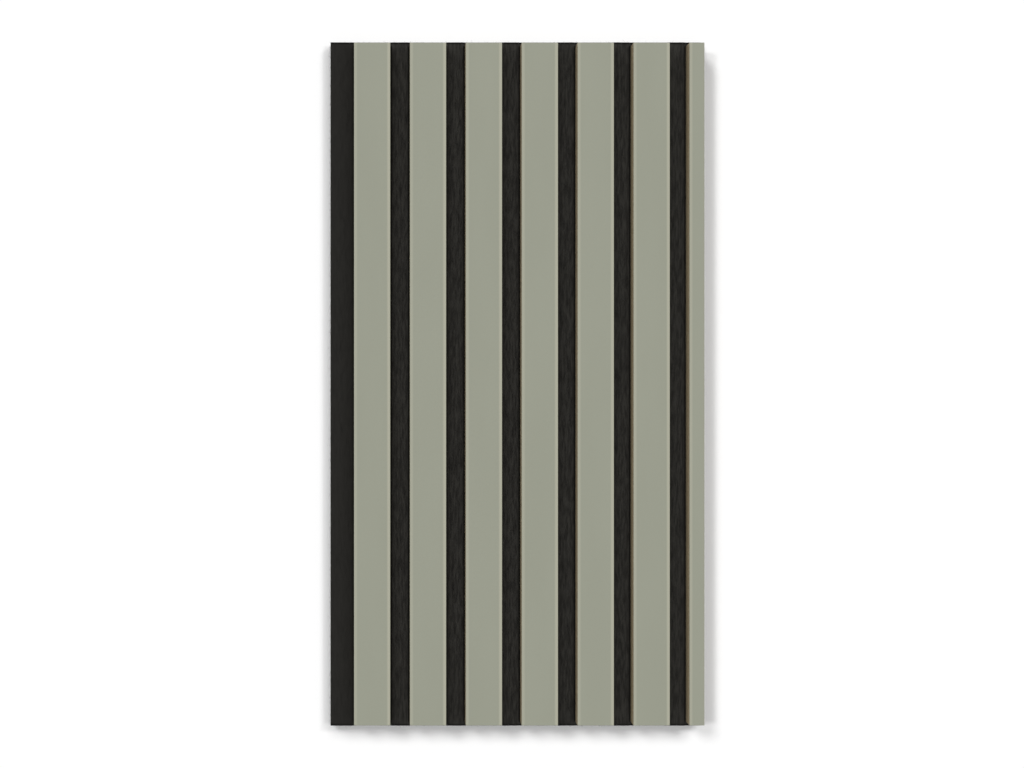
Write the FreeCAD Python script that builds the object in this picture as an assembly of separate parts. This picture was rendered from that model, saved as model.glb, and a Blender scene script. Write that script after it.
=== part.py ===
# Acoustic slat wall panel, sawn to width and height.
#
# Slats stand side by side on a black felt backing. Each slat is a strip of fibreboard with a
# coloured facing on its front and bare sides, and staples driven through the felt hold it from
# behind. The first slat stands in from the left edge, so that a bare strip of felt meets the next
# panel. The saw cut at the right edge runs through the last slat and leaves a narrow strip of it.
#
# Frame, in millimetres: X to the right as seen from the front, Z up, front towards -Y.
# The origin is the centre of the back face, which lies on Y = 0 against the wall.

import FreeCAD, Part
import math
import os

# Sizes of the panel
panel_height = 488.5  # every piece but the staples has this height
felt_thickness = 9.0
joining_strip = 17.3  # bare felt to the left of the first slat

# Sizes of the slats
whole_slats = 6
slat_width = 26.0
slat_gap = 14.0
sawn_slat_width = 10.7  # what the saw has left of the last slat
core_thickness = 11.4
facing_thickness = 0.6
eased_edge_radius = 0.4  # front edges of a facing, run along its whole height

# Sizes of the staples, bent from flat wire
crown_length = 12.8  # over the outside of the legs
leg_length = 14.0  # from the back of the crown to the point
wire_width = 0.95
wire_thickness = 0.65
bend_radius = 1.0  # outside of the bend between crown and leg
point_length = 1.2

# Places of the staples
crown_depth = 0.4  # back of the crown, below the back face of the felt
dimple_rim = 0.7  # how far the felt is drawn in around a crown, at the back face
staple_pitch = 110.0
staple_end_distance = 24.0  # lowest staple's middle above the sawn end

# Planes and lines that several pieces share
slat_pitch = slat_width + slat_gap
panel_width = joining_strip + whole_slats * slat_pitch + sawn_slat_width
left_edge = -panel_width / 2
right_edge = panel_width / 2
bottom_end = -panel_height / 2
felt_front = -felt_thickness
core_front = felt_front - core_thickness
facing_front = core_front - facing_thickness
dimple_width = wire_width + 2 * dimple_rim


def point(x, depth, z):
    """A point so far in from the back face, which is towards -Y."""
    return FreeCAD.Vector(x, -depth, z)


def upright_block(left, right, front, back):
    """A block of the panel's full height between two sides and two depths, as Y values."""
    corner = FreeCAD.Vector(left, front, bottom_end)
    return Part.makeBox(right - left, back - front, panel_height, corner)


def slat_sides():
    """The left and right side of each slat, as X values. The last slat ends at the saw cut."""
    lefts = [left_edge + joining_strip + i * slat_pitch for i in range(whole_slats + 1)]
    rights = [left + slat_width for left in lefts[:whole_slats]] + [right_edge]
    return list(zip(lefts, rights))


def staple_heights():
    """Z of each staple's middle, evenly spaced from the bottom end up."""
    room = panel_height - 2 * staple_end_distance
    count = math.floor(room / staple_pitch) + 1
    lowest = bottom_end + staple_end_distance
    return [lowest + i * staple_pitch for i in range(count)]


def staple_profile():
    """The bent wire from the side: a U, round on the outside of its bends, with pointed legs."""
    side_x = -wire_width / 2
    back = crown_depth
    inside = back + wire_thickness
    bend_end = back + bend_radius
    tip = back + leg_length
    shoulder = tip - point_length
    leg_outside = crown_length / 2
    leg_middle = leg_outside - wire_thickness / 2
    leg_inside = leg_outside - wire_thickness
    bend_start = leg_outside - bend_radius
    halfway = bend_radius * math.sqrt(0.5)

    def line(z1, depth1, z2, depth2):
        return Part.LineSegment(point(side_x, depth1, z1), point(side_x, depth2, z2)).toShape()

    def bend(end):
        """A quarter turn from the crown to the leg at one end."""
        crown_point = point(side_x, back, end * bend_start)
        middle_point = point(side_x, bend_end - halfway, end * (bend_start + halfway))
        leg_point = point(side_x, bend_end, end * leg_outside)
        return Part.Arc(crown_point, middle_point, leg_point).toShape()

    edges = [
        line(-bend_start, back, bend_start, back),
        line(-leg_inside, inside, leg_inside, inside),
    ]
    for end in (-1, 1):
        edges += [
            bend(end),
            line(end * leg_outside, bend_end, end * leg_outside, shoulder),
            line(end * leg_outside, shoulder, end * leg_middle, tip),
            line(end * leg_middle, tip, end * leg_inside, shoulder),
            line(end * leg_inside, shoulder, end * leg_inside, inside),
        ]
    return Part.Wire(Part.sortEdges(edges)[0])


def staple_blank():
    """One staple at x = 0, z = 0, its crown upright and its legs towards the front."""
    return Part.Face(staple_profile()).extrude(FreeCAD.Vector(wire_width, 0, 0))


def upright_rectangle(length, width, depth):
    """A rectangle about x = 0, z = 0, its length upright, lying in the plane at that depth."""
    corners = [(-1, -1), (1, -1), (1, 1), (-1, 1), (-1, -1)]
    return Part.makePolygon([point(x * width / 2, depth, z * length / 2) for x, z in corners])


def dimple_blank():
    """The hollow that one crown presses into the back of the felt, at x = 0, z = 0.

    It narrows from its mouth to the crown's own outline, level with the middle of the wire.
    """
    mouth = upright_rectangle(crown_length + 2 * dimple_rim, dimple_width, 0)
    floor = upright_rectangle(crown_length, wire_width, crown_depth + wire_thickness / 2)
    return Part.makeLoft([mouth, floor], True, True)


def copies_up(blank, x):
    """Copies of a blank up one slat's middle, one at each staple height."""
    return [blank.translated(FreeCAD.Vector(x, 0, z)) for z in staple_heights()]


def make_core(left, right, staples):
    """One slat's fibreboard strip, with the pockets that the staple legs make in its back."""
    return upright_block(left, right, core_front, felt_front).cut(staples)


def make_facing(left, right, eased_sides):
    """One slat's facing, with the front edge eased at each side that is named."""
    facing = upright_block(left, right, facing_front, core_front)
    corners = [FreeCAD.Vector(x, facing_front, 0) for x in eased_sides]
    edges = [e for e in facing.Edges if any(e.CenterOfMass.isEqual(c, 1e-6) for c in corners)]
    return facing.makeFillet(eased_edge_radius, edges)


def make_felt(crowns_and_legs, dimples):
    """The felt backing, pierced and dimpled by the staples."""
    sheet = upright_block(left_edge, right_edge, felt_front, 0)
    return sheet.cut(dimples).cut(crowns_and_legs)


def save(name, solids):
    """Writes one node: a single solid, or several like pieces as a group."""
    shape = solids[0] if len(solids) == 1 else Part.makeCompound(solids)
    shape.exportStep(f"parts/{name}.step")


os.makedirs("parts", exist_ok=True)

staple = staple_blank()
dimple = dimple_blank()
all_staples = []
all_dimples = []
for number, (left, right) in enumerate(slat_sides(), start=1):
    middle = (left + right) / 2
    eased_sides = [left, right] if number <= whole_slats else [left]  # not where it is sawn
    staples = copies_up(staple, middle)
    all_staples += staples
    all_dimples += copies_up(dimple, middle)
    save(f"slat_{number}_core", [make_core(left, right, staples)])
    save(f"slat_{number}_facing", [make_facing(left, right, eased_sides)])
    save(f"slat_{number}_staples", staples)
save("felt_backing", [make_felt(all_staples, all_dimples)])
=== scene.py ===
# Acoustic slat wall panel: the looks of its felt, its slats and its staples, around the packed
# model. Lengths are in metres, X is to the right, Z is up, and the panel's back lies on Y = 0.

import bpy
import numpy as np
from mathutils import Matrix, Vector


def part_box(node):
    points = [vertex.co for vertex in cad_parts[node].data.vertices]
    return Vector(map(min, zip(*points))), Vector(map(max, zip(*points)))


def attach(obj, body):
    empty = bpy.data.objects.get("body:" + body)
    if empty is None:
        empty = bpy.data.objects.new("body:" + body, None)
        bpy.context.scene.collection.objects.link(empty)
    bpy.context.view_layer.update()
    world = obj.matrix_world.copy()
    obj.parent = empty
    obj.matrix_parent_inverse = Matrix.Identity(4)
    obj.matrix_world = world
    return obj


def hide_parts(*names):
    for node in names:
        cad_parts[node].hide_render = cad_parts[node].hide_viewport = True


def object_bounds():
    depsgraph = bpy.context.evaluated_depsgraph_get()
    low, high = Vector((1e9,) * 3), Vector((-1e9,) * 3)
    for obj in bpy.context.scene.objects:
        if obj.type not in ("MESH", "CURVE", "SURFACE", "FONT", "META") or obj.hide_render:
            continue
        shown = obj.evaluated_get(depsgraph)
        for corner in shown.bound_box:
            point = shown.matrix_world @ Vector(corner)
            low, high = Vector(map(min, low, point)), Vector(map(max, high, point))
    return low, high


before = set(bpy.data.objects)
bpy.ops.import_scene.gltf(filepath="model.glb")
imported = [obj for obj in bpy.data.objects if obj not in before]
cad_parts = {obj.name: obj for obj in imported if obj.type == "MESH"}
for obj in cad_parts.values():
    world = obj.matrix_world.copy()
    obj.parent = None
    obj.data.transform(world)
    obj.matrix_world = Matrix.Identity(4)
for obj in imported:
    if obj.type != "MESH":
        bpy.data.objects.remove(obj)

model_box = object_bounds()


# The felt backing is one sheet of needled black polyester. It swells between the slats, which
# press it flat, it has sprung out of its two sawn ends, and each staple's crown draws a dimple into
# its back. It is modelled as one closed skin: a front, a back and a band round the edge.

slat_numbers = range(1, 8)
slat_boxes = [[np.array(corner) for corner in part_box(f"slat_{n}_core")] for n in slat_numbers]
staple_boxes = [[np.array(corner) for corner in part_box(f"slat_{n}_staples")] for n in slat_numbers]
felt_low, felt_high = (np.array(corner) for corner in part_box("felt_backing"))
felt_front = felt_low[1]
slat_sides = np.array([(low[0], high[0]) for low, high in slat_boxes])
slat_width = slat_sides[0, 1] - slat_sides[0, 0]
slat_pitch = slat_sides[1, 0] - slat_sides[0, 0]
bare_lefts = np.append(felt_low[0], slat_sides[:-1, 1])
bare_rights = slat_sides[:, 0]

staple_pitch = 0.110
staples_per_slat = 5
staple_columns = np.array([(low[0] + high[0]) / 2 for low, high in staple_boxes])
crown_width = staple_boxes[0][1][0] - staple_boxes[0][0][0]
lowest_crown_end = staple_boxes[0][0][2]
crown_length = staple_boxes[0][1][2] - lowest_crown_end - (staples_per_slat - 1) * staple_pitch
staple_rows = lowest_crown_end + crown_length / 2 + staple_pitch * np.arange(staples_per_slat)
staple_x, staple_z = (grid.ravel() for grid in np.meshgrid(staple_columns, staple_rows))


def evenly(low, high, step):
    """Places from low to high, both included, and no further apart than step."""
    return np.linspace(low, high, int(np.ceil((high - low) / step)) + 1)


def grid_lines(*places):
    """The places in order, without those that lie nearer than closest to the one before."""
    closest = 0.0001
    in_order = np.sort(np.concatenate(places))
    return in_order[np.append(True, np.diff(in_order) > closest)]


# The skin's grid is close across bare felt and wide under the slats, with lines of its own along
# the rounded edges and round each dimple.
bare_step = 0.0010
covered_step = 0.0065
height_step = 0.0032
corner_radius = 0.0005
dimple_reach = 0.0036
across_dimple = np.array([0.00045, 0.0009, 0.0015, 0.0024, 0.0040])
past_crown = np.array([-0.0010, 0.0, 0.0005, 0.0012, 0.0023, 0.0038])
round_corner = corner_radius * np.array([0.0, 0.3, 0.65, 1.0])

column_lines = grid_lines(
    felt_low[0] + round_corner,
    felt_high[0] - round_corner,
    *[evenly(low, high, bare_step) for low, high in zip(bare_lefts, bare_rights)],
    *[evenly(low, high, covered_step) for low, high in slat_sides],
    *[column + side * across_dimple for column in staple_columns for side in (-1, 1)],
)
row_lines = grid_lines(
    felt_low[2] + round_corner,
    felt_high[2] - round_corner,
    evenly(felt_low[2], felt_high[2], height_step),
    *[row + side * (crown_length / 2 + past_crown) for row in staple_rows for side in (-1, 1)],
)
felt_x, felt_z = np.meshgrid(column_lines, row_lines)


def ripple(across, along, wavelength, seed):
    """Smooth unevenness of about one wavelength: the sum of plane waves in seeded directions, over
    the square root of twice their number, so that it lies between -1 and 1 nearly everywhere."""
    waves = 24
    random = np.random.default_rng(seed)
    heading = random.uniform(0, np.pi, waves)
    phase = random.uniform(0, 2 * np.pi, waves)
    spread = 2 * np.pi / (wavelength * random.uniform(0.7, 1.5, waves))
    travel = across[..., None] * np.cos(heading) + along[..., None] * np.sin(heading)
    return np.cos(travel * spread + phase).sum(-1) / np.sqrt(2 * waves)


def bareness(x):
    """How freely the felt swells at x: 0 against and under a slat, 1 from 2 mm beside it on, and
    3 r^2 - 2 r^3 between them, where r is the share of those 2 mm."""
    free_from = 0.002
    gap = np.maximum(slat_sides[:, 0] - x[..., None], x[..., None] - slat_sides[:, 1]).min(-1)
    rise = np.clip(gap / free_from, 0, 1)
    return rise * rise * (3 - 2 * rise)


def rounding(x, z):
    """How far the skin falls away at the sheet's edges, along a quarter of a circle."""
    fall = np.zeros_like(x)
    for place, low, high in ((x, felt_low[0], felt_high[0]), (z, felt_low[2], felt_high[2])):
        over = np.clip(corner_radius - np.minimum(place - low, high - place), 0, corner_radius)
        fall += corner_radius - np.sqrt(corner_radius**2 - over**2)
    return fall


def drawn_in(x, z):
    """How far the staples draw the back in: the square of the nearness to a crown's outline, which
    is 1 at the crown and falls to 0 over dimple_reach."""
    side = np.maximum(np.abs(x[..., None] - staple_x) - crown_width / 2, 0)
    end = np.maximum(np.abs(z[..., None] - staple_z) - crown_length / 2, 0)
    nearness = np.clip(1 - np.hypot(side, end).min(-1) / dimple_reach, 0, 1)
    return nearness**2


swelling = 0.00045
dimple_depth = 0.0009
needling = 0.00009 * ripple(felt_x, felt_z, wavelength=0.011, seed=3)
needling += 0.00005 * ripple(felt_x, felt_z, wavelength=0.004, seed=4)
front_depth = felt_front - bareness(felt_x) * (swelling + needling) + rounding(felt_x, felt_z)
hollows = 0.00004 * (1 + ripple(felt_x, felt_z, wavelength=0.009, seed=5)).clip(0, 2)
back_depth = -hollows - dimple_depth * drawn_in(felt_x, felt_z) - rounding(felt_x, felt_z)


def round_the_rim(grid):
    """A grid's outermost places, once round from the lower left corner and back to it."""
    rim = [grid[0, :-1], grid[:-1, -1], grid[-1, :0:-1], grid[:0:-1, 0], grid[:1, 0]]
    return np.concatenate(rim)


sprung_reach = 0.0032
sprung_stretch = 0.012


def sprung_out(z):
    """Heights once the felt has sprung out of its ends: moved outwards by sprung_reach times the
    square of the nearness to the end, which is 1 there and falls to 0 over sprung_stretch."""
    nearness = np.clip(1 - (felt_high[2] - np.abs(z)) / sprung_stretch, 0, 1)
    return z + np.sign(z) * sprung_reach * nearness**2


def felt_skin():
    """The sheet's three patches: front, back, and the band round the edge. The band runs straight
    from rim to rim, moved outwards by edge_wave times a ripple, less a constant that draws it in,
    times half a sine wave from front to back."""
    front = np.stack([felt_x, front_depth, sprung_out(felt_z)], -1)
    back = np.stack([felt_x, back_depth, sprung_out(felt_z)], -1)
    front_rim = round_the_rim(front)
    back_rim = round_the_rim(back)
    rings = 9
    share = np.linspace(0, 1, rings)[:, None, None]
    band = front_rim + (back_rim - front_rim) * share
    from_middle = band - (felt_low + felt_high) / 2
    hair = 1e-6
    at_side = np.abs(from_middle) > (felt_high - felt_low) / 2 - hair
    outward = np.sign(from_middle) * at_side
    outward[..., 1] = 0
    edge_wave = 0.00016
    mean_draw = 0.6
    length_round = band[..., 0] + band[..., 2]
    wave = ripple(length_round, band[..., 1], wavelength=0.005, seed=6) - mean_draw
    band += outward * (edge_wave * wave * np.sin(np.pi * share[..., 0]))[..., None]
    return [front, back[:, ::-1], band[::-1]]


def sewn_mesh(name, patches):
    """A closed smooth piece from grids of points that face outwards, merged where their rims meet."""
    corners = []
    first = 0
    for patch in patches:
        rows, columns = patch.shape[:2]
        index = first + np.arange(rows * columns).reshape(rows, columns)
        ring = [index[:-1, :-1], index[:-1, 1:], index[1:, 1:], index[1:, :-1]]
        corners.append(np.stack(ring, -1).reshape(-1, 4))
        first += rows * columns
    points = np.concatenate([patch.reshape(-1, 3) for patch in patches])
    places, merged = np.unique(np.round(points, 7), axis=0, return_inverse=True)
    mesh = bpy.data.meshes.new(name)
    mesh.from_pydata(places.tolist(), [], merged.ravel()[np.concatenate(corners)].tolist())
    mesh.shade_smooth()
    piece = bpy.data.objects.new(name, mesh)
    bpy.context.scene.collection.objects.link(piece)
    return piece


felt = sewn_mesh("felt_sheet", felt_skin())
# Round each staple's crown the back is marked for darkening: the felt is pressed dense there, and
# painted shade stands for the shade in the dimple.
felt_points = np.empty(3 * len(felt.data.vertices), np.float32)
felt.data.vertices.foreach_get("co", felt_points)
point_x, point_y, point_z = felt_points.reshape(-1, 3).T
pressed_and_shaded = drawn_in(point_x, point_z) * (point_y > felt_front / 2)
felt.data.attributes.new("pressed_and_shaded", "FLOAT", "POINT").data.foreach_set("value", pressed_and_shaded)


class Wire:
    """A socket of a material. Arithmetic on wires adds the Math nodes that work it out."""

    def __init__(self, tree, socket=None):
        self.tree = tree
        self.socket = socket

    def node(self, kind, settings, *values, output=None, **named):
        """Adds a node: its settings, then values or wires in the order of its sockets, or by name."""
        made = self.tree.nodes.new("ShaderNode" + kind)
        for setting, value in settings.items():
            setattr(made, setting, value)
        in_order = [socket for socket in made.inputs if socket.enabled][: len(values)]
        by_name = [made.inputs[name.replace("_", " ")] for name in named]
        for socket, value in zip(in_order + by_name, [*values, *named.values()]):
            if isinstance(value, Wire):
                self.tree.links.new(value.socket, socket)
            else:
                socket.default_value = value
        shown = [socket for socket in made.outputs if socket.enabled]
        return Wire(self.tree, made.outputs[output] if output else shown[0])

    def math(self, operation, *others):
        """The result of a Math node on this wire and any others."""
        return self.node("Math", {"operation": operation}, self, *others)

    def rise(self, low, high):
        """0 up to low and 1 from high on, with a smooth rise between them."""
        return self.node("MapRange", {"interpolation_type": "SMOOTHSTEP"}, self, low, high)

    def mix(self, low_colour, high_colour):
        """The first colour where this wire is 0, the second where it is 1."""
        return self.node("Mix", {"data_type": "RGBA"}, self, low_colour, high_colour)

    def grain(self, size, detail=2.0):
        """Noise at these coordinates, its grains about size metres long in X, Y and Z."""
        per_metre = [1 / length for length in size]
        scaled = self.node("Mapping", {}, Vector=self, Scale=per_metre)
        return self.node("TexNoise", {}, Vector=scaled, Scale=1.0, Detail=detail)

    def along(self, axis):
        """This vector's part along X, Y or Z."""
        return self.node("SeparateXYZ", {}, self, output=axis)

    def into(self, shader, name):
        """Links this wire to the shader's socket of that name."""
        self.tree.links.new(self.socket, shader.inputs[name])

    def __add__(self, other):
        return self.math("ADD", other)

    def __sub__(self, other):
        return self.math("SUBTRACT", other)

    def __rsub__(self, other):
        return self * -1 + other

    def __mul__(self, other):
        return self.math("MULTIPLY", other)

    __radd__ = __add__
    __rmul__ = __mul__


def new_finish(name, **numbers):
    """A material, its shader with those numbers on its sockets, and a wire to start from."""
    material = bpy.data.materials.new(name)
    material.use_nodes = True
    shader = material.node_tree.nodes["Principled BSDF"]
    for socket, value in numbers.items():
        shader.inputs[socket.replace("_", " ")].default_value = value
    return material, shader, Wire(material.node_tree)


def screen_colour(red, green, blue):
    """The linear colour that shows as these levels from 0 to 255 on a screen."""
    share = np.array([red, green, blue]) / 255
    linear = np.where(share <= 0.04045, share / 12.92, ((share + 0.055) / 1.055) ** 2.4)
    return (*linear.tolist(), 1.0)


def felt_finish(name, dark, light, roughness):
    """Black fibres: combed upright between the slats and calm on the joining strip, crossing and
    clumped behind. Painted shade darkens them beside the slats, at the sawn ends, on the joining
    strip and round the staples, where the felt is also pressed dense."""
    material, shader, start = new_finish(
        name, Roughness=roughness, Specular_IOR_Level=0.08, Sheen_Weight=0.04, Sheen_Roughness=0.6
    )
    place = start.node("TexCoord", {}, output="Object")
    x = place.along("X")
    front = 1 - place.along("Y").rise(felt_front * 0.95, felt_front * 0.85)
    calm_shaded_strip = front * (1 - x.rise(slat_sides[0, 0] - 0.001, slat_sides[0, 0]))
    from_left = (x - slat_sides[0, 0]).math("FLOORED_MODULO", slat_pitch)
    in_gap = (from_left - slat_width).math("MINIMUM", slat_pitch - from_left)
    to_slat = in_gap.math("MAXIMUM", slat_sides[0, 0] - x)
    to_end = felt_high[2] + sprung_reach - place.along("Z").math("ABSOLUTE")
    between_ends = to_end.rise(sprung_reach - 0.0008, sprung_reach)
    # Painted shade: the front is darkened within about 2 mm of each slat's side, but not on the
    # sprung lip, and over the last 2.4 mm towards each sawn end.
    shade_beside_slat = (1 - to_slat.rise(0.0005, 0.0018)) * between_ends * 0.95
    shade_at_end = (1 - to_end.rise(0.0002, 0.0024)) * 0.85
    painted_shade = front * shade_beside_slat.math("MAXIMUM", shade_at_end)
    pressed_and_shaded = start.node("Attribute", {"attribute_name": "pressed_and_shaded"}, output="Fac")
    combed = place.grain((0.0014, 0.0014, 0.009))
    crossing = place.grain((0.0022, 0.0022, 0.0022), detail=5.0)
    clumps = place.grain((0.007, 0.007, 0.007), detail=3.0)
    fine = place.grain((0.0003, 0.0003, 0.0006), detail=4.0)
    fibres = combed * front + (crossing * 0.6 + clumps * 0.4) * (1 - front)
    tone = (fibres * 0.6 + fine * 0.4).rise(0.34, 0.66)
    # On the joining strip the streaks are calmed, as felt pressed flat, and the tone is held near the
    # dark colour: painted shade that matches it to the felt shaded between the slats.
    even_tone = (tone * (1 - calm_shaded_strip * 0.85) + calm_shaded_strip * 0.05).mix(dark, light)
    # The painted shade and the staples' marks, which are pressed felt and painted shade, take the
    # felt towards near black.
    shade_and_pressing = painted_shade.math("MAXIMUM", pressed_and_shaded * 0.8)
    shade_and_pressing.mix(even_tone, screen_colour(9, 9, 6)).into(shader, "Base Color")
    height = fine * 0.5 + place.grain((0.0002, 0.0002, 0.0002)) * 0.5
    bump = place.node("Bump", {}, Strength=0.6, Distance=0.0003, Height=height)
    bump.into(shader, "Normal")
    return material


felt.data.materials.append(
    felt_finish("black_felt", screen_colour(34, 33, 31), screen_colour(54, 53, 50), 0.95)
)
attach(felt, "root")
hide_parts("felt_backing")


# Loose fibres lie on the felt and stand out from its edges, as they do on any needled felt. Each
# is a thin closed tube that leaves the sheet, arches over it and goes back in, or ends free.

fibre_radius = 0.00005
felt_fibre = felt_finish("felt_fibre", screen_colour(33, 32, 30), screen_colour(62, 61, 58), 0.7)


def add_fibres(name, start, way, outward, lift, sway, radius):
    """Closed three-sided tubes as one smooth mesh, with a map that gives each fibre its own cell.

    A fibre's middle line is start + way * t + outward * lift * 4t(1 - t) + side * sway * sin(2 pi t)
    for t from 0 to 1, where side stands across its way. It thins to a third at both ends.
    """
    count = len(start)
    rings = 6
    sides = 3
    t = np.linspace(0, 1, rings)[None, :, None]
    side = np.cross(way, outward)
    side /= np.linalg.norm(side, axis=1, keepdims=True)
    start, way, side, outward = (array[:, None, :] for array in (start, way, side, outward))
    lift, sway = (array[:, None, None] for array in (lift, sway))
    middle = start + way * t + outward * lift * 4 * t * (1 - t) + side * sway * np.sin(2 * np.pi * t)
    heading = way + outward * lift * 4 * (1 - 2 * t) + side * sway * 2 * np.pi * np.cos(2 * np.pi * t)
    across = np.cross(heading, outward)
    across /= np.linalg.norm(across, axis=2, keepdims=True)
    upward = np.cross(across, heading)
    upward /= np.linalg.norm(upward, axis=2, keepdims=True)
    thickness = radius * (1 - (2 / 3) * (2 * t - 1) ** 2)
    turn = 2 * np.pi * np.arange(sides) / sides
    around = across[:, :, None] * np.cos(turn)[:, None] + upward[:, :, None] * np.sin(turn)[:, None]
    points = middle[:, :, None] + around * thickness[..., None]

    ring = np.arange(rings - 1)[:, None]
    corner = np.arange(sides)
    after = (corner + 1) % sides
    quads = [ring * sides + corner, ring * sides + after]
    quads += [(ring + 1) * sides + after, (ring + 1) * sides + corner]
    quads = np.stack(quads, -1).reshape(-1, 4)
    first = (np.arange(count) * rings * sides)[:, None, None]
    caps = np.array([corner[::-1], (rings - 1) * sides + corner])
    faces = (first + quads).reshape(-1, 4).tolist() + (first + caps).reshape(-1, 3).tolist()
    mesh = bpy.data.meshes.new(name)
    mesh.from_pydata(points.reshape(-1, 3).tolist(), [], faces)
    mesh.shade_smooth()

    cells = int(np.ceil(np.sqrt(count)))
    cell = np.stack([np.arange(count) % cells, np.arange(count) // cells], -1)
    step = np.array([[0, 0], [1, 0], [1, 1], [0, 1]])
    low_corner = np.stack(np.broadcast_arrays(corner, ring), -1).reshape(-1, 1, 2)
    on_quads = (low_corner + step) / (sides, rings - 1)
    on_caps = np.stack([np.stack([corner / sides, corner * 0 + end], -1) for end in (0.0, 1.0)])
    margin = 0.1
    every_corner = [
        ((cell[:, None, None] + margin + (1 - 2 * margin) * in_cell) / cells).reshape(-1, 2)
        for in_cell in (on_quads, on_caps)
    ]
    layer = mesh.uv_layers.new(name="OFBake")
    layer.uv.foreach_set("vector", np.concatenate(every_corner).astype(np.float32).ravel())

    piece = bpy.data.objects.new(name, mesh)
    bpy.context.scene.collection.objects.link(piece)
    piece.data.materials.append(felt_fibre)
    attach(piece, "root")


inset = 0.0012


def bare_places(random, count):
    """Random x places on bare felt with the low and high side of the stretch that each lies in.

    The joining strip at the left is the smoothest stretch and gets a third of its share.
    """
    widths = bare_rights - bare_lefts - 2 * inset
    shares = widths * np.append(1 / 3, np.ones(len(widths) - 1))
    stretch = random.choice(len(widths), count, p=shares / shares.sum())
    x = bare_lefts[stretch] + inset + random.uniform(0, 1, count) * widths[stretch]
    return x, bare_lefts[stretch] + inset / 2, bare_rights[stretch] - inset / 2


def front_fibres(count, seed):
    """Mostly upright fibres on the bare felt, kept between the slats and off the sheet's ends."""
    random = np.random.default_rng(seed)
    x, low, high = bare_places(random, count)
    margin = 0.002
    longest = 0.012
    z = random.uniform(felt_low[2] + margin, felt_high[2] - margin - longest, count)
    length = random.uniform(0.004, longest, count)
    slant = random.normal(0, 0.30, count)
    end_x = np.clip(x + length * np.sin(slant), low, high)
    start = np.stack([x, felt_front - swelling * bareness(x), z], -1)
    way = np.stack([end_x - x, np.zeros(count), length * np.cos(slant)], -1)
    lift = random.uniform(0.00015, 0.0005, count)
    sway = random.normal(0, 0.0003, count)
    outward = np.tile([0.0, -1.0, 0.0], (count, 1))
    return start, way, outward, lift, sway, fibre_radius


def back_fibres(count, seed):
    """Fibres in every direction over the back, lying close to it."""
    random = np.random.default_rng(seed)
    margin = 0.011
    x = random.uniform(felt_low[0] + margin, felt_high[0] - margin, count)
    z = random.uniform(felt_low[2] + margin, felt_high[2] - margin, count)
    length = random.uniform(0.003, 0.010, count)
    heading = random.uniform(0, 2 * np.pi, count)
    start = np.stack([x, np.full(count, -0.0001), z], -1)
    way = np.stack([length * np.cos(heading), np.zeros(count), length * np.sin(heading)], -1)
    lift = random.uniform(0.0001, 0.0003, count)
    sway = random.normal(0, 0.0005, count)
    outward = np.tile([0.0, 1.0, 0.0], (count, 1))
    return start, way, outward, lift, sway, fibre_radius


def edge_fibres(count, seed):
    """Fuzz round the four edges: short fibres, rooted in the felt, that stand out and lean along the
    edge. One running length round the sheet, from the lower left corner, gives each its place."""
    random = np.random.default_rng(seed)
    width, _, height = felt_high - felt_low
    round_trip = random.uniform(0, 2 * (width + height), count)
    turns = np.cumsum([width, height, width])
    side = np.searchsorted(turns, round_trip)
    far = round_trip - np.append(0, turns)[side]
    x = np.choose(side, [felt_low[0] + far, felt_high[0], felt_high[0] - far, felt_low[0]])
    z = np.choose(side, [felt_low[2], felt_low[2] + far, felt_high[2], felt_high[2] - far])
    margin = 0.0006
    y = random.uniform(felt_low[1] + margin, -margin, count)
    out = np.array([[0, 0, -1], [1, 0, 0], [0, 0, 1], [-1, 0, 0]], float)[side]
    along = out[:, [2, 1, 0]]
    root = 0.0003
    reach = random.gamma(2.0, 0.00028, count).clip(0.0002, 0.0022)
    lean = random.normal(0, 0.0011, count)
    depth = random.normal(0, 0.0005, count)
    start = np.stack([x, y, sprung_out(z)], -1) - out * root
    way = out * (reach + root)[:, None] + along * lean[:, None]
    proud = 0.0004
    way[:, 1] += np.clip(depth, felt_low[1] - proud - y, -y)
    outward = np.tile([0.0, -1.0, 0.0], (count, 1))
    lift = random.normal(0, 0.00015, count)
    sway = random.normal(0, 0.0002, count)
    return start, way, outward, lift, sway, fibre_radius * 0.8


add_fibres("felt_fibres_front", *front_fibres(5500, 11))
add_fibres("felt_fibres_back", *back_fibres(6200, 12))
add_fibres("felt_fibres_edges", *edge_fibres(4500, 13))


# Each slat's core is a strip of medium density fibreboard, ripped from a board and left bare at
# its sides, with sawn ends. The felt and the staples' legs are behind it and the facing before it.


def fibreboard_finish():
    """Pressed wood fibres: flakes flat in the board's plane, saw marks, and towards the back a
    painted shade that darkens the wood where it meets the felt."""
    material, shader, start = new_finish("fibreboard", Roughness=0.82, Specular_IOR_Level=0.25)
    place = start.node("TexCoord", {}, output="Object")
    flakes = place.grain((0.0022, 0.0004, 0.0022), detail=3.0)
    dust = place.grain((0.0006, 0.0002, 0.0006), detail=2.0)
    tone = flakes * 0.55 + dust * 0.45
    wood = tone.rise(0.35, 0.65).mix(screen_colour(149, 133, 103), screen_colour(214, 198, 165))
    y = place.along("Y")
    low, high = slat_boxes[0]
    # Painted shade, darker towards the back where the core meets the felt.
    shade_near_felt = y.rise(low[1], high[1]) * 0.65
    shade_near_felt.mix(wood, screen_colour(84, 76, 58)).into(shader, "Base Color")
    tooth_spacing = 0.0011
    feed = place.along("X") + place.along("Z") + y * 0.35
    saw_marks = (feed * (2 * np.pi / tooth_spacing)).math("SINE")
    height = tone + saw_marks * 0.08
    bump = place.node("Bump", {}, Strength=0.6, Distance=0.0003, Height=height)
    bump.into(shader, "Normal")
    return material


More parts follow.
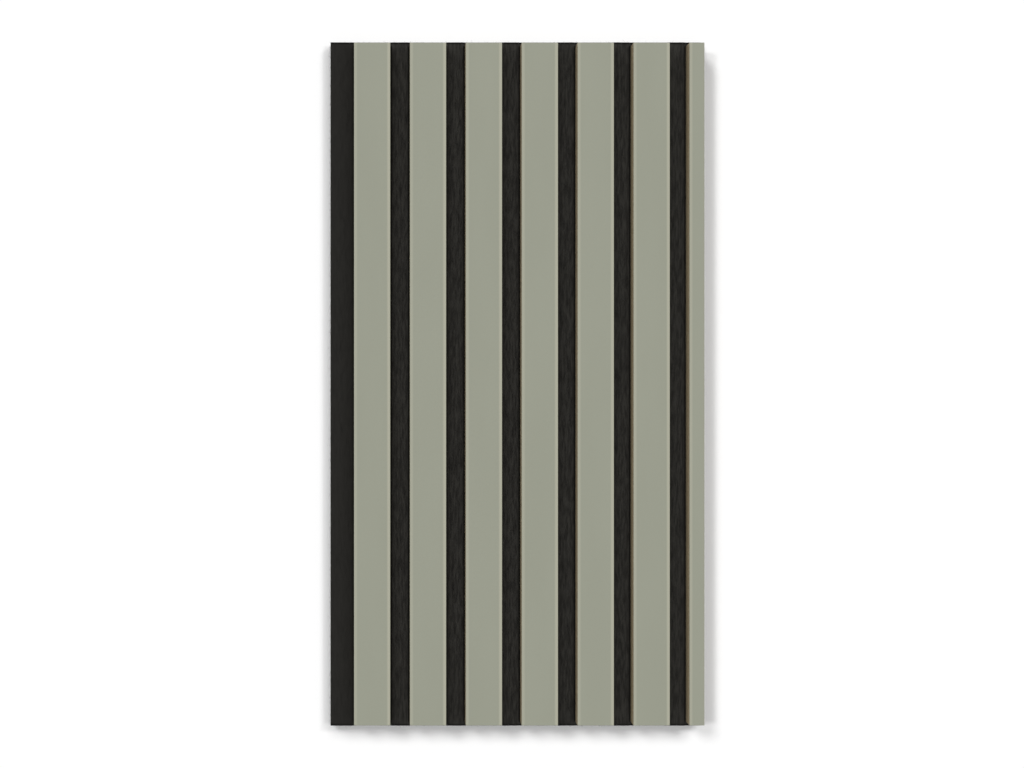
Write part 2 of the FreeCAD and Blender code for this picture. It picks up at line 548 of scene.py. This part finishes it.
def finish_slats(part, material):
    """Gives that part of every slat its finish, in place of the plain one that it comes with."""
    for number in slat_numbers:
        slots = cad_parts[f"slat_{number}_{part}"].data.materials
        slots.clear()
        slots.append(material)


finish_slats("core", fibreboard_finish())


# Each slat's facing is a thin matt laminate in sage green, glued on and eased along its two long
# edges, which carry a painted highlight. The saw left the last one's right edge sharp.


def facing_finish():
    """Sage laminate with a barely uneven tone, a fine dull texture and a painted highlight along each
    long edge, brightest on the right one. The hair keeps a slat's left side from counting as the gap
    before it."""
    material, shader, start = new_finish("sage_laminate", Specular_IOR_Level=0.2)
    place = start.node("TexCoord", {}, output="Object")
    hair = 0.00001
    from_first = place.along("X") + (hair - slat_sides[0, 0])
    from_left = from_first.math("FLOORED_MODULO", slat_pitch)
    # Painted highlights along both long edges of each slat, the right one brighter.
    left_highlight = (1 - from_left.rise(0.0014, 0.0028)) * 0.5
    right_highlight = (1 - (slat_width - from_left).rise(0.0014, 0.0028)) * 0.8
    cloud = place.grain((0.03, 0.03, 0.12))
    sage = cloud.rise(0.3, 0.7).mix(screen_colour(149, 151, 136), screen_colour(151, 153, 138))
    highlight_colour = screen_colour(174, 173, 155)
    left_highlight.math("MAXIMUM", right_highlight).mix(sage, highlight_colour).into(shader, "Base Color")
    grit = place.grain((0.00012, 0.00012, 0.00012))
    (grit * 0.12 + 0.54).into(shader, "Roughness")
    bump = place.node("Bump", {}, Strength=0.15, Distance=0.00005, Height=grit)
    bump.into(shader, "Normal")
    return material


finish_slats("facing", facing_finish())


# The staples are bent from flat galvanised wire and driven from behind, through the felt and into
# the cores. Only their crowns show, each at the bottom of its dimple.


def staple_finish():
    """Zinc over steel: drawn lines along the crown and a dull, slightly patchy grey."""
    material, shader, start = new_finish("galvanised_wire", Metallic=1.0)
    place = start.node("TexCoord", {}, output="Object")
    drawn = place.grain((0.00007, 0.00007, 0.004))
    patches = place.grain((0.0008, 0.0008, 0.0016))
    tone = drawn * 0.5 + patches * 0.5
    grey = tone.rise(0.3, 0.7).mix(screen_colour(150, 151, 152), screen_colour(196, 196, 194))
    grey.into(shader, "Base Color")
    (tone * 0.3 + 0.22).into(shader, "Roughness")
    bump = place.node("Bump", {}, Strength=0.2, Distance=0.00003, Height=drawn)
    bump.into(shader, "Normal")
    return material


finish_slats("staples", staple_finish())


# The wall behind is plain white and takes the panel's shadow. Only the camera sees it, and only
# from the front, so that it neither hides nor darkens the panel's back.

wall_gap = 0.0003
wall_half = 3.0


def wall_finish():
    """White towards the room and clear from behind."""
    material, shader, start = new_finish(
        "white_wall", Base_Color=(1, 1, 1, 1), Roughness=1.0, Specular_IOR_Level=0.0
    )
    behind = start.node("NewGeometry", {}, output="Backfacing")
    clear = start.node("BsdfTransparent", {})
    seen = behind.node("MixShader", {}, behind, Wire(start.tree, shader.outputs[0]), clear)
    start.tree.links.new(seen.socket, start.tree.nodes["Material Output"].inputs["Surface"])
    return material


wall_mesh = bpy.data.meshes.new("wall")
wall_corners = wall_half * np.array([(-1, 0, -1), (1, 0, -1), (1, 0, 1), (-1, 0, 1)])
wall_mesh.from_pydata((wall_corners + (0, wall_gap, 0)).tolist(), [], [(0, 1, 2, 3)])
wall = bpy.data.objects.new("wall", wall_mesh)
bpy.context.scene.collection.objects.link(wall)
wall.data.materials.append(wall_finish())
wall.visible_diffuse = False
wall.visible_glossy = False
wall.visible_transmission = False
wall.visible_shadow = False


# Plain studio light: a soft key lamp from the upper left, a weaker one from the right, an even
# room light and two lamps behind. The wall has lamps of its own, three high and two lower, so that
# the panel's shadow shows round it while the light on the panel itself stays even.

room_light = 0.16
wall_alone = bpy.data.collections.new("wall_alone")
wall_alone.objects.link(wall)
all_but_wall = bpy.data.collections.new("all_but_wall")
all_but_wall.objects.link(wall)
all_but_wall.collection_objects[0].light_linking.link_state = "EXCLUDE"


def add_sun(name, toward, share, softness, lit):
    """A far lamp that gives a face turned its way along Y that share of full light.

    It stands toward that direction as seen from the panel and looks as wide as softness, in degrees.
    """
    direction = np.array(toward, float) / np.linalg.norm(toward)
    lamp = bpy.data.lights.new(name, "SUN")
    lamp.energy = float(share * np.pi / abs(direction[1]))
    lamp.angle = np.radians(softness)
    holder = bpy.data.objects.new(name, lamp)
    holder.rotation_mode = "QUATERNION"
    holder.rotation_quaternion = Vector(direction).to_track_quat("Z", "Y")
    holder.light_linking.receiver_collection = lit
    bpy.context.scene.collection.objects.link(holder)


add_sun("key", (-0.42, -1.0, 0.45), 0.50, 40, all_but_wall)
add_sun("fill", (0.50, -1.0, 0.15), 0.34, 50, all_but_wall)
add_sun("back_key", (0.6, 1.0, 0.7), 0.50, 30, all_but_wall)
add_sun("back_fill", (-0.8, 1.0, 0.2), 0.30, 40, all_but_wall)
add_sun("wall_high_left", (-0.62, -1.0, 0.68), 0.27, 18, wall_alone)
add_sun("wall_high_middle", (0.31, -1.0, 0.72), 0.13, 16, wall_alone)
add_sun("wall_high_right", (0.78, -1.0, 0.65), 0.14, 13, wall_alone)
add_sun("wall_low_left", (-0.63, -1.0, 0.16), 0.19, 10, wall_alone)
add_sun("wall_low_right", (0.59, -1.0, 0.10), 0.125, 11, wall_alone)

world = bpy.data.worlds.new("studio")
world.use_nodes = True
bpy.context.scene.world = world
sky = Wire(world.node_tree)
camera_ray = sky.node("LightPath", {}, output="Is Camera Ray")
glossy_ray = sky.node("LightPath", {}, output="Is Glossy Ray")
clear_ray = sky.node("LightPath", {}, output="Is Transmission Ray")
seen = camera_ray.math("MAXIMUM", glossy_ray).math("MAXIMUM", clear_ray)
background = world.node_tree.nodes["Background"]
background.inputs["Color"].default_value = (1, 1, 1, 1)
(seen * (1 - room_light) + room_light).into(background, "Strength")


# The camera looks straight at the wall from in front of the panel's left part, so that the bare
# left sides of the slats show more and more towards the right, and its frame is shifted to fit.

lens_column = 392
picture_width = 1024
camera_from_fronts = 0.972
camera_x = -0.0895
camera = bpy.data.cameras.new("camera")
camera.lens = 47.77
camera.sensor_width = 36.0
camera.shift_x = 0.5 - lens_column / picture_width
camera_holder = bpy.data.objects.new("camera", camera)
camera_holder.location = (camera_x, model_box[0].y - camera_from_fronts, 0.0)
camera_holder.rotation_euler = (np.pi / 2, 0.0, 0.0)
bpy.context.scene.collection.objects.link(camera_holder)
bpy.context.scene.camera = camera_holder

bpy.context.scene.view_settings.view_transform = "Standard"
